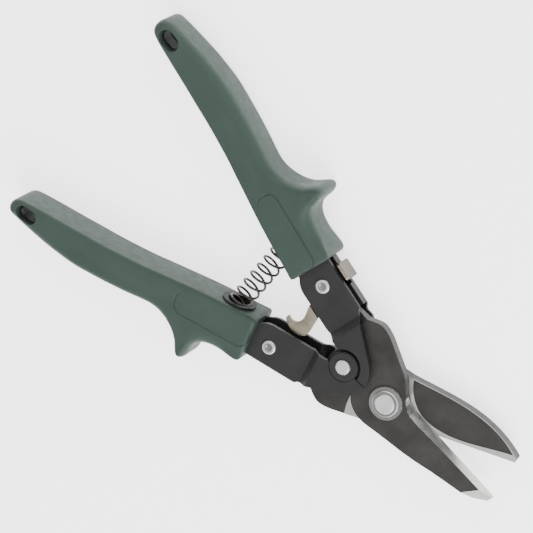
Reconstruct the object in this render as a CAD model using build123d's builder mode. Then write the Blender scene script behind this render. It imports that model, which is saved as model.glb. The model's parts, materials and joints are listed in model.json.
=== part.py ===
from build123d import *
import os
from math import cos, radians, sin

os.makedirs("parts", exist_ok=True)

# Aviation snips at rest: handles fully open. All lengths in mm.
# Working frame: origin on the centre line at the shear plane between the blades,
# +X toward the jaws along the handles' centre line, +Y toward the upper handle.
# Every piece is moved to the row frame (centre of the box, floor at zero) when it is saved.
PIVOT_X = 60.73
PIVOT_Y = 0.0
PIVOT_Z = 11.0

# linkage
TAIL_X = -53.5
TAIL_Y = 20.3
HINGE_X = -22.2
BOLT_X = 2.6
HANDLE_ANGLE = -14.3

# pressed-steel channels
WALL_OUT = 6.0
WALL_IN = 4.1
WEB_OUT = 9.3
WEB_IN = 7.4
BEND_R = 1.5
EAR_OUT = 9.4
EAR_IN = 7.4
RECESS_OUT = 7.2
RECESS_IN = 5.3
RECESS_R = 8.4
RIM_R = 10.3
LOWER_DISC_R = 7.2
COIN_R = 7.0
HINGE_S = 35.34
HINGE_T = -11.94

# blades
BLADE_T = 5.0
BLADE_GAP = 0.03
TAIL_T = 3.9
TAIL_BOSS_R = 6.9
TAIL_THIN_R = 20.5

# fasteners
BOLT_R = 3.9
THREAD_R = 3.0
TAIL_RIVET_R = 1.7
HINGE_RIVET_R = 2.6
BUSH_R = 3.7
RUN = 0.06
FIXED = 0.02

# grips and spring
GRIP_HALF = 11.0
SLOT_W = 7.0
SLOT_L = 10.8
SPRING_X = -78.1
SEAT_Y = 17.1
SPRING_R = 4.85
WIRE_R = 0.55
COILS = 9.75
CUP_R = 6.3
CUP_BORE_R = 5.5
CUP_DEPTH = 9.5
FLANGE_R = 8.0
FLANGE_T = 1.0
FACE_ANGLE = -19.5

S_DIR = (cos(radians(HANDLE_ANGLE)), sin(radians(HANDLE_ANGLE)), 0)
T_BACK = (sin(radians(HANDLE_ANGLE)), -cos(radians(HANDLE_ANGLE)), 0)
TAIL = (TAIL_X, TAIL_Y)
HANDLE = Plane(origin=(TAIL_X, TAIL_Y, 0), x_dir=S_DIR, z_dir=(0, 0, 1))
HANDLE_LOW = Plane(origin=(TAIL_X, -TAIL_Y, 0), x_dir=(S_DIR[0], -S_DIR[1], 0), z_dir=(0, 0, 1))
SIDE = Plane(origin=(TAIL_X, TAIL_Y, 0), x_dir=S_DIR, z_dir=T_BACK)
ACROSS = Plane(origin=(TAIL_X, TAIL_Y, 0), x_dir=(-T_BACK[0], -T_BACK[1], 0), z_dir=S_DIR)


def save(part, label):
    placed = Location((PIVOT_X, PIVOT_Y, PIVOT_Z)) * part
    placed.label = label
    export_step(placed, f"parts/{label}.step")


def across(part):
    """The same piece on the other handle: mirrored in the handles' centre line."""
    return part.mirror(Plane.XZ)


def behind(part):
    """The same piece on the other side of the shear plane."""
    return part.mirror(Plane.XY)


# ---------------------------------------------------------------- channels
def wall_side_profile():
    """One channel wall seen along the handle: flat, then joggled out to the ear."""
    with BuildSketch(mode=Mode.PRIVATE) as face:
        with BuildLine():
            Polyline(
                (-137, WALL_IN), (19.2, WALL_IN), (22.4, EAR_IN), (50, EAR_IN), (50, EAR_OUT),
                (23.1, EAR_OUT), (19.9, WALL_OUT), (-137, WALL_OUT), close=True,
            )
        make_face()
    return face.sketch


def wall_outline(ear_inner_t):
    """The walls and ears seen from the front."""
    with BuildSketch(mode=Mode.PRIVATE) as face:
        with BuildLine():
            l1 = Polyline((-131.5, 0.6), (-95, 0.3), (-61, -2.8), (-13, -7.4), (-9.2, -7.6))
            l2 = Spline(l1 @ 1, (-6, -9.35), (1.5, -10.2), tangents=((1, -0.35), (1, 0)))
            l3 = Polyline(
                l2 @ 1, (17, -10.2), (22, ear_inner_t), (HINGE_S - 6, ear_inner_t), (HINGE_S, HINGE_T),
            )
            l4 = Line(l3 @ 1, (42.45, -9.97))
            l5 = Line(l4 @ 1, (47.7, -8.63))
            l6 = Spline(l5 @ 1, (46.2, -5.2), (42.5, -1.8), (37.9, 0.5))
            l7 = Polyline(
                l6 @ 1, (31.9, 2.8), (24.3, 5.8), (18.6, 7.6),
                (16.6, WEB_OUT), (-112, WEB_OUT), (-131.5, 8.2),
            )
            ThreePointArc(l7 @ 1, (-136.2, 4.4), l1 @ 0)
        make_face()
    return face.sketch


def channel(ear_inner_t):
    with BuildPart() as body:
        with BuildSketch(SIDE):
            add(wall_side_profile())
            add(wall_side_profile().mirror(Plane.XZ))
        extrude(amount=16, both=True)
        with BuildSketch(HANDLE.offset(-EAR_OUT - 1)):
            add(wall_outline(ear_inner_t))
        extrude(amount=2 * EAR_OUT + 2, mode=Mode.INTERSECT)
        with BuildSketch(HANDLE.offset(-WALL_OUT)):
            with Locations((-47.5, (WEB_OUT + WEB_IN) / 2)):
                Rectangle(128, WEB_OUT - WEB_IN)
        extrude(amount=2 * WALL_OUT)
        bends = body.edges().filter_by(Axis(HANDLE.origin, HANDLE.x_dir), tolerance=0.5)
        bends = [e for e in bends if abs(abs(e.center().Z) - WALL_OUT) < 0.01 and e.length > 100]
        bends = [e for e in bends if HANDLE.to_local_coords(e.center()).Y > WEB_IN]
        fillet(bends, BEND_R)
        # rivet holes, hang slot and the pocket that clears the spring cup
        with BuildSketch(HANDLE.offset(-EAR_OUT - 1)):
            Circle(TAIL_RIVET_R + FIXED)
            with Locations(Location((-129.2, 4.5), 5.8)):
                SlotOverall(SLOT_L - 1.0, SLOT_W - 1.0)
        extrude(amount=2 * EAR_OUT + 2, mode=Mode.SUBTRACT)
        with BuildSketch(Plane.XZ.offset(-SEAT_Y + 12)):
            with Locations((SPRING_X, 0)):
                Circle(CUP_R + 0.2)
        extrude(amount=-12 - CUP_DEPTH - 0.3, mode=Mode.SUBTRACT)
    return body.part


def upper_channel():
    with BuildPart() as body:
        add(channel(-9.4))
        for face_z in (-EAR_OUT - 1, RECESS_IN):
            with BuildSketch(Plane.XY.offset(face_z)):
                with Locations((HINGE_X, 0)):
                    Circle(RECESS_R)
            extrude(amount=EAR_OUT + 1 - RECESS_IN, mode=Mode.SUBTRACT)
        for face_z in (-RECESS_OUT, RECESS_IN):
            with BuildSketch(Plane.XY.offset(face_z)):
                with Locations((HINGE_X, 0)):
                    Circle(RECESS_R)
            extrude(amount=RECESS_OUT - RECESS_IN)
        with BuildPart(mode=Mode.PRIVATE) as rim:
            with BuildSketch(Plane.XY.offset(-EAR_OUT)):
                with Locations((HINGE_X, 0)):
                    Circle(RIM_R)
                    Circle(RECESS_R, mode=Mode.SUBTRACT)
            extrude(amount=2 * EAR_OUT)
            with BuildSketch(HANDLE.offset(-EAR_OUT)):
                add(wall_outline(-9.4))
            extrude(amount=2 * EAR_OUT, mode=Mode.INTERSECT)
            with BuildSketch(Plane.XY.offset(-RECESS_IN)):
                Rectangle(200, 200)
            extrude(amount=2 * RECESS_IN, mode=Mode.SUBTRACT)
        add(rim.part)
        with BuildSketch(Plane.XY.offset(-EAR_OUT)):
            with Locations((HINGE_X, 0)):
                Circle(HINGE_RIVET_R + RUN)
        extrude(amount=2 * EAR_OUT, mode=Mode.SUBTRACT)
        # the latch tab comes out through the web, beside a long open slot over the blade's tail
        with BuildSketch(HANDLE.offset(-2.5)):
            with Locations((1.3, WEB_OUT)):
                Rectangle(8.6, 6)
        extrude(amount=2.8, mode=Mode.SUBTRACT)
        with BuildSketch(HANDLE.offset(-0.1)):
            with Locations((5, WEB_OUT)):
                Rectangle(32, 6)
        extrude(amount=WALL_IN, mode=Mode.SUBTRACT)
    return body.part


def lower_channel():
    with BuildPart() as body:
        add(across(channel(-10.6)))
        for face_z in (-EAR_OUT, EAR_IN):
            with BuildSketch(Plane.XY.offset(face_z)):
                with Locations((HINGE_X, 0)):
                    Circle(LOWER_DISC_R)
            extrude(amount=EAR_OUT - EAR_IN)
        with BuildSketch(Plane.XY.offset(-EAR_OUT)):
            with Locations((HINGE_X, 0)):
                Circle(HINGE_RIVET_R + FIXED)
        extrude(amount=2 * EAR_OUT, mode=Mode.SUBTRACT)
        # coined line around the handle pivot
        with BuildSketch(Plane.XY.offset(EAR_OUT - 0.25)):
            with Locations((HINGE_X, 0)):
                Circle(COIN_R)
                Circle(COIN_R - 0.35, mode=Mode.SUBTRACT)
        extrude(amount=1, mode=Mode.SUBTRACT)
        with BuildSketch(HANDLE_LOW.offset(-WALL_IN)):
            with Locations((5, -WEB_OUT)):
                Rectangle(32, 6)
        extrude(amount=WALL_IN + 0.1, mode=Mode.SUBTRACT)
    return body.part


# ---------------------------------------------------------------- blades
def tail_and_shoulder(last):
    """Tail boss, neck and shoulder of a blade, up to the start of its jaw."""
    boss_top = (TAIL_X + 1.72, TAIL_Y + 6.68)
    start = ThreePointArc((-55.2, 13.62), (-60.4, 20.3), boss_top)
    neck = Polyline(start @ 1, (-37.2, 23.2), (-28.9, 23.3))
    Spline(neck @ 1, (-26.1, 24.6), (-21.8, 26.1), (-17.7, 25.4), (-11.3, 22.4), (-5.3, 19.1), last)


def hinge_side(first):
    """The edge that bends around the handle pivot, back to the tail boss."""
    curve = Spline(first, (-14.0, -6.2), (-15.6, -1.5), (-15.8, 3.4))
    bay = ThreePointArc(curve @ 1, (-17.3, 6.6), (-20.4, 7.8))
    Polyline(bay @ 1, (-31, 9.6), (-42, 13.2), (-55.2, 13.62))


def wedge(start, end, width, depth):
    """Ground bevel beside the line start-end, which stays sharp at the shear plane."""
    run = Vector(*end) - Vector(*start)
    ahead = run.normalized()
    edge = Plane(origin=start, x_dir=(-ahead.Y, ahead.X, 0), z_dir=(ahead.X, ahead.Y, 0))
    reach = (depth + 1) / depth
    with BuildPart() as tool:
        with BuildSketch(edge):
            with BuildLine():
                Polyline((0, 0), (-width * reach, depth + 1), (8, depth + 1), (8, 0), close=True)
            make_face()
        extrude(amount=run.length)
    return tool.part


def edge_bevel(stations):
    """Ground bevel along a cutting edge; a station is (x, y of the edge, y where the bevel ends)."""
    with BuildPart() as tool:
        for x, edge, end in stations:
            past = end - (edge - end) / BLADE_T
            with BuildSketch(Plane(origin=(x, 0, 0), x_dir=(0, 1, 0), z_dir=(1, 0, 0))):
                with BuildLine():
                    Polyline(
                        (edge, 0), (past, BLADE_T + 1), (edge + 8, BLADE_T + 1), (edge + 8, 0), close=True,
                    )
                make_face()
        loft(ruled=True)
    return tool.part


def blade_common(part):
    """Thinned tail, tail rivet hole."""
    with BuildPart() as body:
        add(part)
        with BuildPart(mode=Mode.PRIVATE) as thin:
            with Locations((TAIL_X, TAIL_Y, TAIL_T)):
                Cone(TAIL_THIN_R, TAIL_THIN_R + 8, 2.2, align=(Align.CENTER, Align.CENTER, Align.MIN))
        add(thin.part, mode=Mode.SUBTRACT)
        with BuildSketch(Plane.XY):
            with Locations(TAIL):
                Circle(TAIL_RIVET_R + RUN)
        extrude(amount=BLADE_T, mode=Mode.SUBTRACT)
    return body.part


def front_blade():
    with BuildPart() as body:
        with BuildSketch(Plane.XY.offset(BLADE_GAP)):
            with BuildLine():
                tail_and_shoulder((-0.3, 16.5))
                throat = Spline((-0.3, 16.5), (3.3, 13.4), (6.9, 9.3), (10.2, 6.6), (14.2, 5.3), (20, 4.8))
                top = Polyline(throat @ 1, (66.1, 1.6))
                tip = Polyline(top @ 1, (65.3, -2.2), (59.8, -5.2), (55.6, -5.9), (38.2, -9.0))
                back = Spline(
                    tip @ 1, (24.7, -11.8), (5.9, -14.3), (-1.1, -15.0), (-6.2, -13.9), (-11.4, -10.0),
                )
                hinge_side(back @ 1)
            make_face()
        extrude(amount=BLADE_T - BLADE_GAP)
        add(edge_bevel((
            (7.4, 8.8, 8.7), (8.8, 7.65, 7.0), (10.2, 6.65, 5.5), (12.2, 5.9, 4.2), (14.2, 5.35, 3.4),
            (20, 4.85, 2.8), (30, 4.15, 2.5), (45, 3.1, 1.9), (66.4, 1.6, 0.8),
        )), mode=Mode.SUBTRACT)
        add(wedge((68.6, 2.2), (59.6, -9.9), 6.7, BLADE_T), mode=Mode.SUBTRACT)
        with BuildSketch(Plane.XY):
            with Locations((BOLT_X, 0)):
                Circle(BOLT_R + 0.25)
        extrude(amount=BLADE_T, mode=Mode.SUBTRACT)
    return blade_common(body.part)


def rear_blade():
    with BuildPart() as body:
        with BuildSketch(Plane.XY.offset(BLADE_GAP)):
            with BuildLine():
                tail_and_shoulder((-0.3, 16.5))
                throat = Spline(
                    (-0.3, 16.5), (3.3, 13.4), (6.9, 9.6), (10.6, 6.6), (15, 3.6), (22, -0.1), (29.8, -4.3),
                )
                edge = Spline(throat @ 1, (39.8, -8.5), (48, -12.1), (55.7, -16.3), (62.5, -20.6))
                tip = Polyline(edge @ 1, (61.9, -22.7), (60.1, -23.4))
                back = Spline(tip @ 1, (52, -25.1), (44, -25.6), (35.6, -24.9), (21.2, -21.5), (2.8, -15.6))
                Spline(back @ 1, (-2.4, -14.6), (-7, -13.2), (-11.4, -10.0))
                hinge_side((-11.4, -10.0))
            make_face()
        extrude(amount=BLADE_T - BLADE_GAP)
        add(wedge((24, -1.2), (64, -21.6), 1.5, BLADE_T), mode=Mode.SUBTRACT)
        with BuildSketch(Plane.XY):
            with Locations((BOLT_X, 0)):
                Circle(BOLT_R + FIXED)
        extrude(amount=BLADE_T, mode=Mode.SUBTRACT)
        # the inner face is ground only along the cutting edge and around the pivot
        with BuildSketch(Plane.XY):
            with BuildLine():
                strip = Spline(
                    (4.4, -15.5), (10.2, -9.0), (17.5, -5.5), (25.1, -5.5), (38.4, -10.1), (59.8, -22.7),
                )
                Spline(strip @ 1, (52, -24.75), (44, -25.25), (35.6, -24.55), (21.2, -21.15), strip @ 0)
            make_face()
            with BuildLine():
                Polyline(
                    (-8.3, 30), (-8.3, 21.8), (-10.6, 17.0), (-12.4, 11.2),
                    (-12.4, -2), (-70, -2), (-70, 30), close=True,
                )
            make_face()
        extrude(amount=0.25, mode=Mode.SUBTRACT)
    return across(behind(blade_common(body.part)))


# ---------------------------------------------------------------- fasteners
def stud(plane, stack):
    """Turned piece: discs of (radius, from, to) on the plane's normal."""
    with BuildPart() as body:
        for radius, low, high in stack:
            with BuildSketch(plane.offset(low)):
                Circle(radius)
            extrude(amount=high - low)
    return body.part


def ring(x, y, inner, outer, low, high):
    with BuildPart() as body:
        with BuildSketch(Plane.XY.offset(low)):
            with Locations((x, y)):
                Circle(outer)
                Circle(inner, mode=Mode.SUBTRACT)
        extrude(amount=high - low)
    return body.part


def pivot_bolt():
    with BuildPart() as body:
        add(stud(
            Plane((BOLT_X, 0, 0)),
            ((THREAD_R, -PIVOT_Z, -5.0), (BOLT_R, -5.0, 6.1), (6.2, 6.1, 6.9), (4.7, 6.9, 7.7)),
        ))
        chamfer(body.faces().sort_by(Axis.Z)[-1].edges(), 0.5)
        chamfer(body.faces().sort_by(Axis.Z)[0].edges(), 0.5)
        rims = body.edges().filter_by(GeomType.CIRCLE)
        chamfer(rims.filter_by(lambda e: abs(e.radius - 6.2) < 0.01 and e.center().Z > 6.8), 0.4)
    return body.part


def pivot_nut():
    with BuildPart() as body:
        with BuildSketch(Plane.XY.offset(-10.2)):
            with Locations((BOLT_X, 0)):
                RegularPolygon(5.5 / cos(radians(30)), 6)
                Circle(THREAD_R + FIXED, mode=Mode.SUBTRACT)
        extrude(amount=4.1)
    return body.part


def handle_rivet():
    with BuildPart() as body:
        add(stud(
            Plane((HINGE_X, 0, 0)),
            ((3.4, -10.7, -9.45), (HINGE_RIVET_R, -9.45, 9.45), (3.4, 9.45, 10.7)),
        ))
        ends = [body.faces().sort_by(Axis.Z)[i].edges() for i in (0, -1)]
        for end in ends:
            chamfer(end, 0.5)
    return body.part


def tail_rivet():
    head = WALL_OUT + 0.02
    with BuildPart() as body:
        add(stud(
            Plane((TAIL_X, TAIL_Y, 0)),
            ((3.3, -head - 1.0, -head), (TAIL_RIVET_R, -head, head), (3.3, head, head + 1.0)),
        ))
        ends = [body.faces().sort_by(Axis.Z)[i].edges() for i in (0, -1)]
        for end in ends:
            fillet(end, 0.6)
        # dimple left by the riveting tool
        with Locations((TAIL_X, TAIL_Y, head + 0.6)):
            Cone(0.9, 1.7, 0.4, align=(Align.CENTER, Align.CENTER, Align.MIN), mode=Mode.SUBTRACT)
    return body.part


# ---------------------------------------------------------------- latch
def latch():
    with BuildPart() as body:
        # sheet with a step, so the hook runs in front of the root
        with BuildSketch(ACROSS):
            with BuildLine():
                Polyline(
                    (9.5, -1.9), (9.5, -0.3), (-11.3, -0.3), (-12.9, 1.95), (-30, 1.95),
                    (-30, 0.35), (-13.5, 0.35), (-12.1, -1.9), close=True,
                )
            make_face()
        extrude(amount=20, both=True)
        with BuildSketch(HANDLE.offset(-6)):
            with BuildLine():
                lead = Spline(
                    (5.0, 1.0), (6.2, -4.5), (10.5, -12.0), (12.0, -15.6), (13.5, -19.0), (14.5, -23.2),
                )
                toe = Spline(lead @ 1, (7.6, -27.2), (4.8, -26.8), (3.0, -26.3))
                nose = Polyline(toe @ 1, (2.6, -25.3), (2.5, -24.2), (3.3, -24.2))
                throat = Spline(
                    nose @ 1, (5.6, -24.1), (7.4, -22.0), (7.4, -18.9), (5.6, -15.6), (3.8, -12.4),
                )
                Spline(throat @ 1, (0, -7.5), (-4.6, -2.0))
                ThreePointArc((-4.6, -2.0), (-4.4, 2.4), (-2.0, 4.6))
                Polyline((-2.0, 4.6), (-2.0, 9.4), (2.0, 9.4), (2.0, 4.6), (5.0, 1.0))
            make_face()
        extrude(amount=12, mode=Mode.INTERSECT)
        with BuildSketch(HANDLE.offset(-1.9)):
            with Locations((0, 10.2)):
                Rectangle(4, 1.9)
        extrude(amount=1.6)
        with BuildSketch(HANDLE.offset(-5.1)):
            with Locations((-0.55, 11.75)):
                Rectangle(8.7, 1.5)
        extrude(amount=10.2)
        with BuildSketch(HANDLE.offset(-6)):
            Circle(TAIL_RIVET_R + RUN)
        extrude(amount=12, mode=Mode.SUBTRACT)
        tab = [e for e in body.edges() if abs(abs(e.center().Z) - 5.1) < 0.01 and abs(e.length - 1.5) < 0.01]
        fillet(tab, 1.2)
    return body.part


def latch_wave_washer():
    with BuildPart() as body:
        add(ring(TAIL_X, TAIL_Y, TAIL_RIVET_R + RUN, 5.4, -4.0, -3.4))
        add(ring(TAIL_X, TAIL_Y, TAIL_RIVET_R + RUN, 3.6, -3.4, -1.98))
    return body.part


# ---------------------------------------------------------------- grips, spring and cups
def grip_outline():
    with BuildSketch(mode=Mode.PRIVATE) as face:
        with BuildLine():
            inner = Spline(
                (-65.4, 13.4), (-86.3, 20.0), (-113.9, 30.6), (-150.3, 43.0), (-182, 52.4),
            )
            heel = Spline(inner @ 1, (-187.4, 57.2), (-182.4, 62.5), tangents=(inner % 1, (1, 0)))
            back = Spline(
                heel @ 1, (-161.6, 61.5), (-138.5, 57.0), (-104.5, 45.2), tangents=((1, 0), (1, -0.04)),
            )
            guard = Spline(back @ 1, (-92.6, 47.6), (-85.0, 54.2), tangents=(back % 1, (0.62, 0.78)))
            horn = ThreePointArc(guard @ 1, (-82.0, 55.3), (-79.7, 52.8))
            waist = Spline(horn @ 1, (-79.9, 46.2), (-75.0, 40.0), tangents=(horn % 1, (0.9, -0.43)))
            outer = Spline(waist @ 1, (-60.2, 34.9), tangents=(waist % 1, (0.94, -0.33)))
            Polyline(outer @ 1, (-59.4, 32.8), inner @ 0)
        make_face()
    return face.sketch


def core_outline():
    """Space inside the grip for the steel core: the channel's envelope."""
    with BuildSketch(mode=Mode.PRIVATE) as face:
        with BuildLine():
            l1 = Polyline((-131.5, 0.6), (-95, 0.3), (-61, -2.8), (-13, -7.4), (10, -12), (10, WEB_OUT))
            l2 = Polyline(l1 @ 1, (-112, WEB_OUT), (-131.5, 8.2))
            ThreePointArc(l2 @ 1, (-136.2, 4.4), l1 @ 0)
        make_face()
    return face.sketch


def cup_body(radius, low, high):
    """Round stock on the spring's axis, between two distances past the seat."""
    with BuildPart() as body:
        with BuildSketch(Plane.XZ.offset(-SEAT_Y - low)):
            with Locations((SPRING_X, 0)):
                Circle(radius)
        extrude(amount=low - high)
    return body.part


def flange_disc(radius, low, high):
    """Disc square to the grip's inner face, between two distances past the seat."""
    out = (-sin(radians(FACE_ANGLE)), cos(radians(FACE_ANGLE)), 0)
    seat = Plane(origin=(SPRING_X, SEAT_Y, 0), x_dir=(0, 0, 1), z_dir=out)
    with BuildPart() as body:
        with BuildSketch(seat.offset(low)):
            Circle(radius)
        extrude(amount=high - low)
    return body.part


def grip():
    with BuildPart() as body:
        with BuildSketch(Plane.XY.offset(-GRIP_HALF)):
            add(grip_outline())
        extrude(amount=2 * GRIP_HALF)
        with BuildSketch(HANDLE.offset(-WALL_OUT)):
            add(core_outline())
        extrude(amount=2 * WALL_OUT, mode=Mode.SUBTRACT)
        with BuildSketch(HANDLE.offset(-GRIP_HALF)):
            with Locations(Location((-129.2, 4.5), 5.8)):
                SlotOverall(SLOT_L, SLOT_W)
        extrude(amount=2 * GRIP_HALF, mode=Mode.SUBTRACT)
        add(cup_body(CUP_R, -8, CUP_DEPTH), mode=Mode.SUBTRACT)
        add(flange_disc(FLANGE_R, -4, 0.2), mode=Mode.SUBTRACT)
    return body.part


def spring_cup():
    with BuildPart() as body:
        add(cup_body(CUP_R, -1.0, CUP_DEPTH))
        add(flange_disc(FLANGE_R + 4, -8, 0.2), mode=Mode.SUBTRACT)
        add(flange_disc(FLANGE_R, 0.2 - FLANGE_T, 0.2))
        add(cup_body(CUP_BORE_R, -8, CUP_DEPTH - 1.2), mode=Mode.SUBTRACT)
    return body.part


def return_spring():
    reach = SEAT_Y + CUP_DEPTH - 1.2 - WIRE_R - 0.05
    coil = Helix(
        pitch=2 * reach / COILS, height=2 * reach, radius=SPRING_R,
        center=(SPRING_X, -reach, 0), direction=(0, 1, 0),
    )
    with BuildPart() as body:
        with BuildSketch(Plane(origin=coil @ 0, z_dir=coil % 0)):
            Circle(WIRE_R)
        sweep(path=coil, is_frenet=True)
    return body.part


upper_grip = grip()
upper_cup = spring_cup()
rivet = tail_rivet()
save(upper_grip, "upper_grip")
save(across(upper_grip), "lower_grip")
save(upper_channel(), "upper_channel")
save(lower_channel(), "lower_channel")
save(front_blade(), "front_blade")
save(rear_blade(), "rear_blade")
save(pivot_bolt(), "pivot_bolt")
save(ring(BOLT_X, 0, BOLT_R + FIXED, 7.8, 5.05, 6.08), "pivot_washer")
save(ring(BOLT_X, 0, THREAD_R + FIXED, 7.0, -6.08, -5.02), "pivot_rear_washer")
save(pivot_nut(), "pivot_nut")
save(handle_rivet(), "handle_rivet")
save(ring(HINGE_X, 0, HINGE_RIVET_R + FIXED, BUSH_R, -5.24, 5.24), "handle_bush")
save(rivet, "upper_tail_rivet")
save(across(rivet), "lower_tail_rivet")
save(latch(), "latch")
save(latch_wave_washer(), "latch_wave_washer")
save(ring(TAIL_X, -TAIL_Y, TAIL_RIVET_R + FIXED, 5.4, 2.15, 4.05), "lower_tail_spacer")
save(upper_cup, "upper_spring_cup")
save(across(upper_cup), "lower_spring_cup")
save(return_spring(), "return_spring")
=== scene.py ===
import bpy
import json
import math
from mathutils import Matrix, Vector
from mathutils.geometry import delaunay_2d_cdt


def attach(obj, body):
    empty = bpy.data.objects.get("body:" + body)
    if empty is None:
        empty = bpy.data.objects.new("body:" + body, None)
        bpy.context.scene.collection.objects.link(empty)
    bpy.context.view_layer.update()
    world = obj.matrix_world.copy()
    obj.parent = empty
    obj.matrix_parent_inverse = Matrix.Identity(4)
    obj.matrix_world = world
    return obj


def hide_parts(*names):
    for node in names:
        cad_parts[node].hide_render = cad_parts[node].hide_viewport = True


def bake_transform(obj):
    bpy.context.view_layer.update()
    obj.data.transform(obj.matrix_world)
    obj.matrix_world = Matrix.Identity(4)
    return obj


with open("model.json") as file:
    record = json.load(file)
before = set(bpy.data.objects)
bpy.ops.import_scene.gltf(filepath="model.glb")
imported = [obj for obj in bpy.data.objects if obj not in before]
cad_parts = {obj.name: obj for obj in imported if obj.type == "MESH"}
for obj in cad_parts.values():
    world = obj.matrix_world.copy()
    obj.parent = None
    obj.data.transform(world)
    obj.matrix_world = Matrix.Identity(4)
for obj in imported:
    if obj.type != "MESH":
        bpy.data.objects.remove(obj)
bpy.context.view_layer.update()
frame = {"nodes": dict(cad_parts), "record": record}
nodes = frame["nodes"]

# The object's sizes and places are in mm, from the drawing's origin on the centre line at half thickness.
# x points to the blade tips and z is up. place() turns them into the frame's metres.
# The materials' depths and edge radii, the floor, the lights and the camera's distance are in metres.
MM = 0.001
ORIGIN_X = 60.73
HALF_THICK = 11.0

TAIL_X, TAIL_Y = -53.5, 20.3
SPRING_X = -78.1


def place(x, y, z=0.0):
    """A point of the drawing, as a point in the frame."""
    return Vector(((x + ORIGIN_X) * MM, y * MM, (z + HALF_THICK) * MM))


def mesh_object(name, verts, faces):
    mesh = bpy.data.meshes.new(name)
    mesh.from_pydata(verts, [], faces)
    obj = bpy.data.objects.new(name, mesh)
    bpy.context.scene.collection.objects.link(obj)
    return obj


# ------------------------------------------------------------------ shader nodes
NOISE_LOW, NOISE_HIGH = 0.3, 0.7
MOTTLE_DETAIL = 4.0
WEAR_SCALE, WEAR_DETAIL, WEAR_ROUGH = 260.0, 5.0, 0.65


def new_material(name):
    mat = bpy.data.materials.new(name)
    mat.use_nodes = True
    tree = mat.node_tree
    coords = tree.nodes.new("ShaderNodeTexCoord").outputs["Object"]
    return mat, tree, tree.nodes["Principled BSDF"], coords


def noise(tree, coords, scale, detail=3.0, rough=0.55):
    node = tree.nodes.new("ShaderNodeTexNoise")
    node.inputs["Scale"].default_value = scale
    node.inputs["Detail"].default_value = detail
    node.inputs["Roughness"].default_value = rough
    tree.links.new(coords, node.inputs["Vector"])
    return node.outputs["Fac"]


def spread(tree, value, low, high):
    """The useful part of a noise, stretched from low to high."""
    node = tree.nodes.new("ShaderNodeMapRange")
    node.inputs["From Min"].default_value = NOISE_LOW
    node.inputs["From Max"].default_value = NOISE_HIGH
    node.inputs["To Min"].default_value = low
    node.inputs["To Max"].default_value = high
    tree.links.new(value, node.inputs["Value"])
    return node.outputs["Result"]


def ramp(tree, value, start, end):
    """0 before start, 1 after end, smooth between."""
    node = tree.nodes.new("ShaderNodeMapRange")
    node.interpolation_type = "SMOOTHSTEP"
    node.inputs["From Min"].default_value = start
    node.inputs["From Max"].default_value = end
    tree.links.new(value, node.inputs["Value"])
    return node.outputs["Result"]


def mix(tree, factor, first, second):
    """Colour between the first and the second, each a colour or a socket."""
    node = tree.nodes.new("ShaderNodeMix")
    node.data_type = "RGBA"
    tree.links.new(factor, node.inputs["Factor"])
    for socket, value in ((node.inputs[6], first), (node.inputs[7], second)):
        if isinstance(value, tuple):
            socket.default_value = (*value, 1.0)
        else:
            tree.links.new(value, socket)
    return node.outputs[2]


def maths(tree, operation, first, second=0.0):
    """One sum on numbers or sockets."""
    node = tree.nodes.new("ShaderNodeMath")
    node.operation = operation
    for socket, value in ((node.inputs[0], first), (node.inputs[1], second)):
        if isinstance(value, (int, float)):
            socket.default_value = value
        else:
            tree.links.new(value, socket)
    return node.outputs[0]


def stretched(tree, coords, scale, angle):
    node = tree.nodes.new("ShaderNodeMapping")
    node.inputs["Rotation"].default_value = (0.0, 0.0, angle)
    node.inputs["Scale"].default_value = scale
    tree.links.new(coords, node.inputs["Vector"])
    return node.outputs["Vector"]


def mottled(tree, coords, scale, color, shade):
    """Colour that drifts between two shades."""
    return mix(tree, spread(tree, noise(tree, coords, scale, MOTTLE_DETAIL), 0.0, 1.0), color, shade)


def worn_gloss(tree, bsdf, coords, smoothest, roughest):
    wear = noise(tree, coords, WEAR_SCALE, WEAR_DETAIL, WEAR_ROUGH)
    tree.links.new(spread(tree, wear, smoothest, roughest), bsdf.inputs["Roughness"])


def bump(tree, bsdf, height, distance, edge=0.0):
    """Relief from a height, with edges rounded to the given radius in metres."""
    node = tree.nodes.new("ShaderNodeBump")
    node.inputs["Strength"].default_value = 1.0
    node.inputs["Distance"].default_value = distance
    tree.links.new(height, node.inputs["Height"])
    if edge:
        soft = tree.nodes.new("ShaderNodeBevel")
        soft.samples = 4
        soft.inputs["Radius"].default_value = edge
        tree.links.new(soft.outputs["Normal"], node.inputs["Normal"])
    tree.links.new(node.outputs["Normal"], bsdf.inputs["Normal"])


# ------------------------------------------------------------------ materials
BRUSH_SCALE, BRUSH_ANGLE = (0.05, 2.2, 1.0), 0.35


def surface(name, color, shade, roughness, metallic, grain, depth, edge=0.0, specular=0.5, brushed=False):
    """Procedural finish: a mottled colour, uneven gloss and a fine or a brushed grain."""
    mat, tree, bsdf, coords = new_material(name)
    tree.links.new(mottled(tree, coords, 90.0, color, shade), bsdf.inputs["Base Color"])
    worn_gloss(tree, bsdf, coords, roughness - 0.06, roughness + 0.08)
    bsdf.inputs["Metallic"].default_value = metallic
    bsdf.inputs["Specular IOR Level"].default_value = specular
    if brushed:
        height = noise(tree, stretched(tree, coords, BRUSH_SCALE, BRUSH_ANGLE), grain, 2.0, 0.7)
    else:
        height = noise(tree, coords, grain, 3.0, 0.6)
    bump(tree, bsdf, height, depth, edge)
    return mat


# The engraved border on the grips: a rounded box along the handle, open toward the inner crease.
BORDER_X, BORDER_Y = -81.3, 28.05
BORDER_TURN = math.radians(-16.7)
BORDER_HALF_LENGTH, BORDER_HALF_WIDTH, BORDER_CORNER = 19.5, 5.6, 4.8
BORDER_LINE, BORDER_DEPTH = 0.34, 0.35
BORDER_OPEN, BORDER_FULL = -4.6, -2.6


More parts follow.
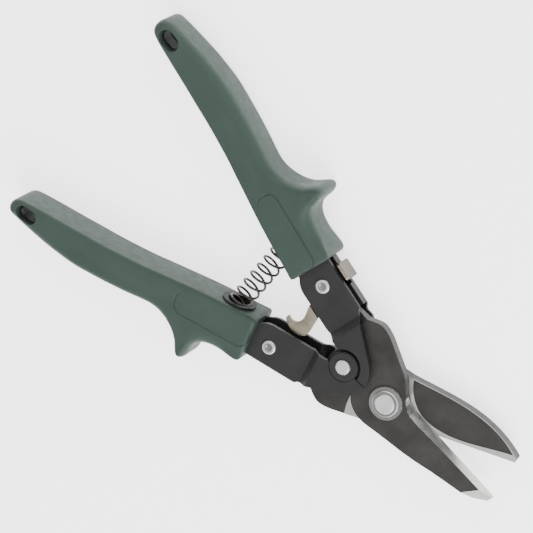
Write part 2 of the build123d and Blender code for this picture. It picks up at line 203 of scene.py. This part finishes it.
def border_relief(tree, coords):
    """Height of the engraved border in mm, zero away from its line."""
    def op(operation, first, second=0.0):
        return maths(tree, operation, first, second)

    split = tree.nodes.new("ShaderNodeSeparateXYZ")
    tree.links.new(coords, split.inputs[0])
    x = op("SUBTRACT", op("MULTIPLY", split.outputs["X"], 1000.0), ORIGIN_X)
    y = op("ABSOLUTE", op("MULTIPLY", split.outputs["Y"], 1000.0))
    dx = op("SUBTRACT", x, BORDER_X)
    dy = op("SUBTRACT", y, BORDER_Y)
    cos, sin = math.cos(BORDER_TURN), math.sin(BORDER_TURN)
    along = op("ADD", op("MULTIPLY", dx, cos), op("MULTIPLY", dy, sin))
    across = op("SUBTRACT", op("MULTIPLY", dy, cos), op("MULTIPLY", dx, sin))
    past_end = op("SUBTRACT", op("ABSOLUTE", along), BORDER_HALF_LENGTH - BORDER_CORNER)
    past_side = op("SUBTRACT", op("ABSOLUTE", across), BORDER_HALF_WIDTH - BORDER_CORNER)
    out_end = op("MAXIMUM", past_end, 0.0)
    out_side = op("MAXIMUM", past_side, 0.0)
    outside = op("SQRT", op("ADD", op("MULTIPLY", out_end, out_end), op("MULTIPLY", out_side, out_side)))
    within = op("MINIMUM", op("MAXIMUM", past_end, past_side), 0.0)
    off_line = op("DIVIDE", op("SUBTRACT", op("ADD", outside, within), BORDER_CORNER), BORDER_LINE)
    line = op("POWER", math.e, op("MULTIPLY", op("MULTIPLY", off_line, off_line), -1.0))
    return op("MULTIPLY", line, op("MULTIPLY", ramp(tree, across, BORDER_OPEN, BORDER_FULL), -BORDER_DEPTH))


def grip_material():
    """Green moulded plastic with the engraved border, whose line is also darkened as painted shade."""
    mat, tree, bsdf, coords = new_material("grip plastic")
    color = mottled(tree, coords, 70.0, (0.0262, 0.0440, 0.0352), (0.0300, 0.0500, 0.0400))
    relief = border_relief(tree, coords)
    # Painted shade: the border's line is darkened toward near-black, as shade in its groove.
    dark = maths(tree, "MINIMUM", maths(tree, "MULTIPLY", relief, -0.9), 0.32)
    tree.links.new(mix(tree, dark, color, (0.006, 0.012, 0.010)), bsdf.inputs["Base Color"])
    worn_gloss(tree, bsdf, coords, 0.42, 0.58)
    bsdf.inputs["Specular IOR Level"].default_value = 0.2
    grain = maths(tree, "MULTIPLY", noise(tree, coords, 1700.0, 3.0, 0.6), 0.05)
    bump(tree, bsdf, maths(tree, "ADD", relief, grain), MM)
    return mat


green = grip_material()
black_steel = surface(
    "black coating", (0.010, 0.010, 0.0105), (0.0145, 0.0145, 0.015),
    roughness=0.46, metallic=0.1, grain=2200.0, depth=0.00006, edge=0.0004, specular=0.3,
)
blade_dark = surface(
    "forged scale", (0.021, 0.020, 0.0188), (0.037, 0.0355, 0.033),
    roughness=0.46, metallic=0.5, grain=2600.0, depth=0.00009, edge=0.0003, specular=0.35,
)
ground = surface(
    "ground steel", (0.50, 0.50, 0.48), (0.40, 0.40, 0.385),
    roughness=0.30, metallic=0.95, grain=1000.0, depth=0.00003, brushed=True,
)
zinc = surface(
    "zinc plate", (0.66, 0.67, 0.66), (0.52, 0.53, 0.53),
    roughness=0.33, metallic=0.9, grain=1500.0, depth=0.00004, edge=0.00025,
)
# A darker copy of the zinc: painted shade for flat tops, which sit beside bright rims.
zinc_painted_shade = surface(
    "zinc, painted shade on flat tops", (0.20, 0.20, 0.19), (0.13, 0.13, 0.125),
    roughness=0.38, metallic=0.85, grain=1500.0, depth=0.00004,
)
nickel = surface(
    "nickel sheet", (0.36, 0.32, 0.24), (0.13, 0.115, 0.085),
    roughness=0.28, metallic=0.9, grain=1400.0, depth=0.00004, edge=0.0002,
)
# A darker copy of the nickel: painted shade for the latch tab's outer face.
nickel_painted_shade = surface(
    "nickel sheet, painted shade", (0.10, 0.09, 0.07), (0.07, 0.062, 0.048),
    roughness=0.34, metallic=0.85, grain=1400.0, depth=0.00004,
)
spring_wire = surface(
    "spring wire", (0.020, 0.018, 0.016), (0.040, 0.034, 0.030),
    roughness=0.38, metallic=0.6, grain=1800.0, depth=0.00003,
)
black_plastic = surface(
    "black plastic", (0.006, 0.006, 0.006), (0.010, 0.010, 0.010),
    roughness=0.55, metallic=0.0, grain=1600.0, depth=0.00005, specular=0.25,
)

SLOTS = {
    "grip_green": green,
    "black_steel": black_steel,
    "blade_steel": blade_dark,
    "zinc_steel": zinc,
    "latch_steel": nickel,
    "spring_steel": spring_wire,
    "black_plastic": black_plastic,
}
for entry in frame["record"]["subparts"]:
    obj = nodes[entry["node"]]
    obj.data.materials.clear()
    obj.data.materials.append(SLOTS[entry["material_slot"]])


# ------------------------------------------------------------------ second finishes and painted shade on the CAD pieces
FACES_UP = 0.9
BEVEL_FROM_X, TIP_FROM_X = 7.0, 50.0
BEVEL_STEEPEST, BEVEL_FLATTEST, BEVEL_FACES_OUT = 0.05, 0.985, 0.1
REAR_FACE_Z, REAR_FACE_SLACK = -0.03, 0.08
TAB_Y, TAB_FACES_OUT = 30.0, 0.8
STAKED_RADIUS, STAKED_FACES_UP = 2.3, 0.3
BOLT_FLANGE_Z = 7.2


def paint_faces(obj, material, chosen):
    """Second material on the faces that the test picks; some calls use it for painted shade."""
    obj.data.materials.append(material)
    for face in obj.data.polygons:
        if chosen(face):
            face.material_index = 1


def bevel_face(face):
    """Faces of the front blade's cutting bevel and tip, not its throat wall."""
    centre, normal = face.center, face.normal
    if centre.x <= place(BEVEL_FROM_X, 0.0).x or centre.z <= place(0.0, 0.0).z:
        return False
    if not BEVEL_STEEPEST < normal.z < BEVEL_FLATTEST:
        return False
    return normal.y > BEVEL_FACES_OUT or centre.x > place(TIP_FROM_X, 0.0).x


def bearing_face(face):
    """Faces of the rear blade that lie in the shear plane."""
    off_plane = abs(face.center.z - place(0.0, 0.0, REAR_FACE_Z).z)
    return off_plane < REAR_FACE_SLACK * MM and face.normal.z > FACES_UP


def tab_face(face):
    """The outer face of the latch's thumb tab."""
    return face.normal.y > TAB_FACES_OUT and face.center.y > TAB_Y * MM


def top_face(face):
    return face.normal.z > FACES_UP


def flange_face(face):
    """The top of the bolt's flange, below its raised head."""
    return face.normal.z > FACES_UP and face.center.z < place(0.0, 0.0, BOLT_FLANGE_Z).z


def paint_staked_end(node, y):
    """Painted shade: the staked middle of a tail rivet's head gets the darker zinc."""
    axis = place(TAIL_X, y).xy

    def staked_face(face):
        return face.normal.z > STAKED_FACES_UP and (face.center.xy - axis).length < STAKED_RADIUS * MM

    paint_faces(nodes[node], zinc_painted_shade, staked_face)


paint_faces(nodes["front_blade"], ground, bevel_face)
paint_faces(nodes["rear_blade"], ground, bearing_face)
# Painted shade: the latch tab's outer face gets the darker nickel.
paint_faces(nodes["latch"], nickel_painted_shade, tab_face)
# Painted shade: the flat tops of the tail rivets, the pivot washer and the bolt flange are darker than
# their rims.
paint_staked_end("upper_tail_rivet", TAIL_Y)
paint_staked_end("lower_tail_rivet", -TAIL_Y)
paint_faces(nodes["pivot_washer"], zinc_painted_shade, top_face)
paint_faces(nodes["pivot_bolt"], zinc_painted_shade, flange_face)


# ------------------------------------------------------------------ grip outline
# The upper grip, from its front end along the inner crease to the hang slot and back over the guard.
GRIP = (
    (-63.7, 18.8), (-65.2, 13.9), (-67.0, 13.7), (-72.0, 15.3), (-79.0, 17.6), (-86.3, 20.0), (-95.6, 23.4),
    (-105.0, 27.1), (-113.9, 30.6), (-122.9, 34.2), (-130.6, 36.9), (-140.0, 40.0), (-150.3, 43.0),
    (-158.0, 45.3), (-165.0, 47.3), (-174.0, 49.9), (-182.0, 52.4), (-185.9, 54.4), (-187.3, 57.6),
    (-186.4, 60.8), (-183.4, 62.3), (-178.0, 62.4), (-173.0, 62.2), (-167.0, 61.9), (-161.6, 61.5),
    (-156.0, 60.8), (-150.4, 60.0), (-144.5, 58.8), (-138.5, 57.0), (-129.5, 54.1), (-120.5, 50.9),
    (-111.5, 47.3), (-107.5, 45.9), (-103.8, 45.3), (-100.0, 45.5), (-96.5, 46.1), (-92.6, 47.5),
    (-89.0, 49.9), (-86.6, 52.5), (-84.4, 54.8), (-82.2, 55.4), (-80.3, 54.3), (-79.7, 51.8),
    (-80.1, 48.8), (-80.3, 45.6), (-79.0, 42.8), (-76.4, 40.6), (-72.9, 38.9), (-67.8, 37.3),
    (-63.5, 35.9), (-60.6, 34.8), (-59.6, 33.2), (-60.3, 30.4),
)
RING_POINTS = 330
CURVE_STEPS = 12
RIM_TURNS = range(0, 91, 15)
RIM_PASSES = 16
CAP_STEP = 1.0

SLOT_X, SLOT_Y, SLOT_LENGTH, SLOT_WIDTH = -177.6, 56.56, 10.8, 7.0
SLOT_TURN = math.radians(-8.5)
CUP_POCKET_RADIUS, CUP_POCKET_DEPTH, CUP_POCKET_Y = 6.35, 24.0, 14.8


def curve_through(points):
    """Closed Catmull-Rom curve through the points."""
    out = []
    for i in range(len(points)):
        p = [Vector(points[(i + k - 1) % len(points)]) for k in range(4)]
        for j in range(CURVE_STEPS):
            t = j / CURVE_STEPS
            out.append(0.5 * (
                2 * p[1] + (p[2] - p[0]) * t + (2 * p[0] - 5 * p[1] + 4 * p[2] - p[3]) * t * t
                + (3 * p[1] - p[0] - 3 * p[2] + p[3]) * t * t * t
            ))
    return out


def eased(values, passes=1):
    """Values round a ring, each averaged with its neighbours."""
    count = len(values)
    for _ in range(passes):
        values = [(values[i - 1] + values[i] * 2 + values[(i + 1) % count]) / 4 for i in range(count)]
    return values


def even_path(points, count):
    """The closed curve resampled at even steps, its tight corners eased."""
    dense = curve_through(points)
    steps = [(dense[(i + 1) % len(dense)] - dense[i]).length for i in range(len(dense))]
    step = sum(steps) / count
    out, done, i = [], 0.0, 0
    for k in range(count):
        while done + steps[i] < k * step:
            done += steps[i]
            i += 1
        out.append(dense[i].lerp(dense[(i + 1) % len(dense)], (k * step - done) / steps[i]))
    return eased(out)


# ------------------------------------------------------------------ grip rim and relief
FRONT_RIM, CREASE_RIM, GUARD_RIM, OUTER_RIM = (1.2, 1.2), (2.0, 2.0), (2.5, 5.5), (4.8, 4.8)
FRONT_X = -66.0
CREASE_X, CREASE_Y, CREASE_SLOPE, CREASE_BAND = -65.0, 13.0, 0.335, 4.0
GUARD_FROM_X, GUARD_FROM_Y = -98.0, 42.0
ROOM_SHARE, LEAST_BEND, NO_LIMIT = 0.75, 0.02, 99.0


def rim(point):
    """Rim rounding as (inset, depth): full on the outer side, tighter at front, crease and guard."""
    x, y = point
    above_crease = y - (CREASE_Y + (CREASE_X - x) * CREASE_SLOPE)
    if x > FRONT_X:
        return FRONT_RIM
    if above_crease < CREASE_BAND:
        return CREASE_RIM
    if x > GUARD_FROM_X and y > GUARD_FROM_Y:
        return GUARD_RIM
    return OUTER_RIM


def room_inside(path, inward):
    """How far the rim may move in at each point before a tight corner folds over itself."""
    count = len(path)
    room = []
    for i in range(count):
        before, after = path[i] - path[i - 1], path[(i + 1) % count] - path[i]
        bend = math.atan2(before.x * after.y - before.y * after.x, before.dot(after)) * inward
        room.append(ROOM_SHARE * before.length / bend if bend > LEAST_BEND else NO_LIMIT)
    return [min(room[(i + k) % count] for k in (-2, -1, 0, 1, 2)) for i in range(count)]


def rim_rings(path):
    """Rings from the top cap down the rim to the bottom cap, as [(point, z), ...], and the rim's depths."""
    count = len(path)
    area = sum(path[i - 1].x * path[i].y - path[i].x * path[i - 1].y for i in range(count))
    inward = 1.0 if area > 0 else -1.0
    normals = []
    for i in range(count):
        tangent = (path[(i + 1) % count] - path[i - 1]).normalized()
        normals.append(Vector((-tangent.y, tangent.x)))
    inset = eased([rim(p)[0] for p in path], RIM_PASSES)
    inset = eased([min(a, b) for a, b in zip(inset, room_inside(path, inward))], 2)
    depth = eased([rim(p)[1] for p in path], RIM_PASSES)
    rings = []
    for turn, sign in [(t, 1) for t in reversed(RIM_TURNS)] + [(t, -1) for t in RIM_TURNS]:
        a = math.radians(turn)
        rings.append([
            (p + n * inward * r * (1 - math.cos(a)), sign * (HALF_THICK - d * (1 - math.sin(a))))
            for p, n, r, d in zip(path, normals, inset, depth)
        ])
    return rings, depth


def smooth_step(value, start, end):
    t = min(1.0, max(0.0, (value - start) / (end - start)))
    return t * t * (3.0 - 2.0 * t)


GROOVE_DEPTH, GROOVE_WIDTH = 0.9, 3.4
GROOVE_X, GROOVE_Y, GROOVE_SLOPE, GROOVE_BEND = -150.0, 52.4, 0.16, 0.003
GROOVE_START, GROOVE_END = (-172.0, -146.0), (-108.0, -92.0)
WAIST_DEPTH, WAIST_WIDTH = 0.75, 2.2
WAIST_Y, WAIST_RISE, WAIST_REACH, GUARD_X = 31.2, 15.7, 9.75, -84.7
WAIST_START = (-89.0, -77.0)


def relief_depth(x, y):
    """How far the grip's side is hollowed, in mm: the long groove, and the waist beside the guard."""
    along = x - GROOVE_X
    line = GROOVE_Y - GROOVE_SLOPE * along - GROOVE_BEND * along * along
    fade = smooth_step(x, *GROOVE_START) * (1.0 - smooth_step(x, *GROOVE_END))
    groove = GROOVE_DEPTH * fade * math.exp(-((y - line) / GROOVE_WIDTH) ** 2)
    rise = WAIST_RISE * math.exp(-(x - GUARD_X) / WAIST_REACH)
    away = (y - WAIST_Y - rise) / math.hypot(1.0, rise / WAIST_REACH)
    waist = WAIST_DEPTH * smooth_step(x, *WAIST_START) * math.exp(-(away / WAIST_WIDTH) ** 2)
    return groove + waist


# ------------------------------------------------------------------ grip meshes
def inside(point, ring, margin):
    """True for a point within the ring and clear of the ring's points by the margin."""
    hit = False
    for a, b in zip(ring, ring[1:] + ring[:1]):
        if (a.y > point.y) != (b.y > point.y):
            if point.x < (b.x - a.x) * (point.y - a.y) / (b.y - a.y) + a.x:
                hit = not hit
        if (point - a).length < margin:
            return False
    return hit


def cap_mesh(ring):
    """Even triangles over the ring: (inner points, triangles). Indices count the ring's points first."""
    left, right = min(p.x for p in ring), max(p.x for p in ring)
    low, high = min(p.y for p in ring), max(p.y for p in ring)
    inner = []
    for i in range(int((right - left) / CAP_STEP)):
        for j in range(int((high - low) / CAP_STEP)):
            point = Vector((left + (i + 0.5 * (j % 2)) * CAP_STEP, low + j * CAP_STEP))
            if inside(point, ring, 0.7 * CAP_STEP):
                inner.append(point)
    count = len(ring)
    edges = [(i, (i + 1) % count) for i in range(count)]
    result = delaunay_2d_cdt(ring + inner, edges, [tuple(range(count))], 1, 1e-6)
    faces, sources = result[2], result[3]
    return inner, [tuple(sources[k][0] for k in face) for face in faces]


def turn_faces_outward(obj):
    bpy.context.view_layer.objects.active = obj
    obj.select_set(True)
    bpy.ops.object.mode_set(mode="EDIT")
    bpy.ops.mesh.select_all(action="SELECT")
    bpy.ops.mesh.normals_make_consistent(inside=False)
    bpy.ops.object.mode_set(mode="OBJECT")
    obj.select_set(False)


def grip_mesh(name, side):
    """A closed grip with rounded rims and hollowed sides; side is 1 for the upper one, -1 for the lower."""
    rings, depth = rim_rings(even_path(GRIP, RING_POINTS))
    inner, triangles = cap_mesh([p for p, z in rings[0]])

    def hollowed(p, z, d):
        share = max(0.0, 1.0 - (HALF_THICK - abs(z)) / d)
        z -= math.copysign(relief_depth(p.x, p.y) * share, z)
        return place(p.x, p.y * side, z)

    verts = []
    for ring in rings:
        verts += [hollowed(p, z, d) for (p, z), d in zip(ring, depth)]
    faces = []
    count = RING_POINTS
    for k in range(len(rings) - 1):
        for i in range(count):
            j = (i + 1) % count
            faces.append((k * count + i, k * count + j, (k + 1) * count + j, (k + 1) * count + i))
    for first, z in ((0, HALF_THICK), ((len(rings) - 1) * count, -HALF_THICK)):
        start = len(verts)
        verts += [hollowed(p, z, 1.0) for p in inner]
        for triangle in triangles:
            faces.append(tuple(first + k if k < count else start + k - count for k in triangle))
    obj = mesh_object(name, verts, faces)
    turn_faces_outward(obj)
    return obj


def slot_outline(side):
    """The hang slot: two half circles, turned along the handle's end."""
    out = []
    angle = side * SLOT_TURN
    for end in (1, -1):
        for k in range(13):
            a = math.radians(-90 + 15 * k) + (0 if end == 1 else math.pi)
            x = end * (SLOT_LENGTH - SLOT_WIDTH) / 2 + math.cos(a) * SLOT_WIDTH / 2
            y = math.sin(a) * SLOT_WIDTH / 2
            out.append((
                SLOT_X + x * math.cos(angle) - y * math.sin(angle),
                side * SLOT_Y + x * math.sin(angle) + y * math.cos(angle),
            ))
    return out


def prism(name, outline, z0, z1):
    count = len(outline)
    verts = [place(x, y, z0) for x, y in outline] + [place(x, y, z1) for x, y in outline]
    faces = [tuple(range(count - 1, -1, -1)), tuple(range(count, 2 * count))]
    faces += [(i, (i + 1) % count, count + (i + 1) % count, count + i) for i in range(count)]
    return mesh_object(name, verts, faces)


def cup_pocket(side):
    """The round hole that the spring cup sits in."""
    bpy.ops.mesh.primitive_cylinder_add(
        vertices=64, radius=CUP_POCKET_RADIUS * MM, depth=CUP_POCKET_DEPTH * MM,
        location=place(SPRING_X, side * CUP_POCKET_Y), rotation=(math.pi / 2, 0, 0),
    )
    return bpy.context.active_object


def apply_cut(obj, tool):
    cut = obj.modifiers.new("cut", "BOOLEAN")
    cut.operation = "DIFFERENCE"
    cut.solver = "EXACT"
    cut.object = tool
    bpy.context.view_layer.objects.active = obj
    bpy.ops.object.modifier_apply(modifier="cut")
    bpy.data.objects.remove(tool)


def shade(obj, angle):
    """Smooth shading, with sharp edges past the angle in degrees."""
    obj.data.shade_smooth()
    obj.data.set_sharp_from_angle(angle=math.radians(angle))


for label, mirrored in (("upper_grip", False), ("lower_grip", True)):
    side = -1.0 if mirrored else 1.0
    body = grip_mesh(label + "_skin", side)
    apply_cut(body, prism("slot tool", slot_outline(side), -HALF_THICK - 1, HALF_THICK + 1))
    apply_cut(body, cup_pocket(side))
    body.data.materials.clear()
    body.data.materials.append(green)
    shade(body, 35.0)
    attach(body, "lower_handle" if mirrored else "upper_handle")
    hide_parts(label)


# ------------------------------------------------------------------ return spring
SPRING_TURNS, SPRING_RADIUS, SPRING_REACH = 9.75, 4.85, 24.8
WIRE_RADIUS = 0.6
SPRING_STEPS, WIRE_SIDES = 420, 10


def spring_mesh(name):
    """A coil of round wire along y, from one cup to the other."""
    verts, faces = [], []
    sweep = SPRING_RADIUS * 2 * math.pi * SPRING_TURNS
    for i in range(SPRING_STEPS + 1):
        u = i / SPRING_STEPS
        a = 2 * math.pi * SPRING_TURNS * u
        y = -SPRING_REACH + 2 * SPRING_REACH * u
        centre = Vector((SPRING_X + SPRING_RADIUS * math.cos(a), y, -SPRING_RADIUS * math.sin(a)))
        out = Vector((math.cos(a), 0, -math.sin(a)))
        along = Vector((-math.sin(a) * sweep, 2 * SPRING_REACH, -math.cos(a) * sweep))
        along.normalize()
        other = along.cross(out)
        for k in range(WIRE_SIDES):
            b = 2 * math.pi * k / WIRE_SIDES
            p = centre + (out * math.cos(b) + other * math.sin(b)) * WIRE_RADIUS
            verts.append(place(p.x, p.y, p.z))
    for i in range(SPRING_STEPS):
        start, after = i * WIRE_SIDES, (i + 1) * WIRE_SIDES
        for k in range(WIRE_SIDES):
            m = (k + 1) % WIRE_SIDES
            faces.append((start + k, start + m, after + m, after + k))
    faces.append(tuple(range(WIRE_SIDES)))
    faces.append(tuple(SPRING_STEPS * WIRE_SIDES + k for k in range(WIRE_SIDES - 1, -1, -1)))
    return mesh_object(name, verts, faces)


coil = spring_mesh("return_spring_coil")
coil.data.materials.append(spring_wire)
shade(coil, 60.0)
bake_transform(coil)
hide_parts("return_spring")

for name, obj in nodes.items():
    if name not in ("upper_grip", "lower_grip", "return_spring"):
        shade(obj, 30.0)


# ------------------------------------------------------------------ stage, light, camera
FLOOR_SIZE, FLOOR_GLOW = 6.0, 2.0
WORLD_STRENGTH = 1.35
WHITE = (1.0, 1.0, 1.0, 1.0)

bpy.ops.mesh.primitive_plane_add(size=FLOOR_SIZE, location=(0, 0, 0))
floor = bpy.context.active_object
floor.name = "floor"
floor_mat = surface(
    "pale floor", (0.93, 0.93, 0.93), (0.91, 0.91, 0.91),
    roughness=0.8, metallic=0.0, grain=60.0, depth=0.0001,
)
floor.data.materials.append(floor_mat)
floor_bsdf = floor_mat.node_tree.nodes["Principled BSDF"]
floor_bsdf.inputs["Emission Color"].default_value = WHITE
floor_bsdf.inputs["Emission Strength"].default_value = FLOOR_GLOW

world = bpy.data.worlds.new("studio")
bpy.context.scene.world = world
world.use_nodes = True
background = world.node_tree.nodes["Background"]
background.inputs["Color"].default_value = WHITE
background.inputs["Strength"].default_value = WORLD_STRENGTH


def area_light(name, where, size, power):
    """A square light, in metres and watts, that points at the frame's origin."""
    data = bpy.data.lights.new(name, "AREA")
    data.shape = "SQUARE"
    data.size = size
    data.energy = power
    obj = bpy.data.objects.new(name, data)
    bpy.context.scene.collection.objects.link(obj)
    obj.location = where
    obj.rotation_euler = (-Vector(where)).to_track_quat("-Z", "Y").to_euler()


area_light("key", (0.95, -0.30, 0.95), size=1.0, power=24.0)
area_light("fill", (-0.5, 0.9, 1.1), size=0.9, power=6.0)

CAMERA_AZIMUTH, CAMERA_ELEVATION, CAMERA_ROLL = (math.radians(a) for a in (75.5454, 63.267, -122.8999))
CAMERA_DISTANCE = 1.6
CAMERA_AIM = place(-80.0, 0.0)


def camera_matrix():
    """The camera looks at its aim from the azimuth and elevation, turned by the roll."""
    azimuth, elevation = CAMERA_AZIMUTH, CAMERA_ELEVATION
    level = Vector((-math.sin(azimuth), math.cos(azimuth), 0.0))
    toward = Vector((math.cos(elevation) * math.cos(azimuth), math.cos(elevation) * math.sin(azimuth),
                     math.sin(elevation)))
    upright = toward.cross(level)
    right = level * math.cos(CAMERA_ROLL) + upright * math.sin(CAMERA_ROLL)
    up = upright * math.cos(CAMERA_ROLL) - level * math.sin(CAMERA_ROLL)
    axes = Matrix((right, up, toward)).transposed()
    return Matrix.Translation(CAMERA_AIM + toward * CAMERA_DISTANCE) @ axes.to_4x4()


camera = bpy.data.objects.new("camera", bpy.data.cameras.new("camera"))
bpy.context.scene.collection.objects.link(camera)
camera.matrix_world = camera_matrix()
camera.data.sensor_width = 36.0
camera.data.lens = 239.07
camera.data.shift_x = 0.0143
camera.data.shift_y = 0.0121
camera.data.clip_end = 20.0
bpy.context.scene.camera = camera
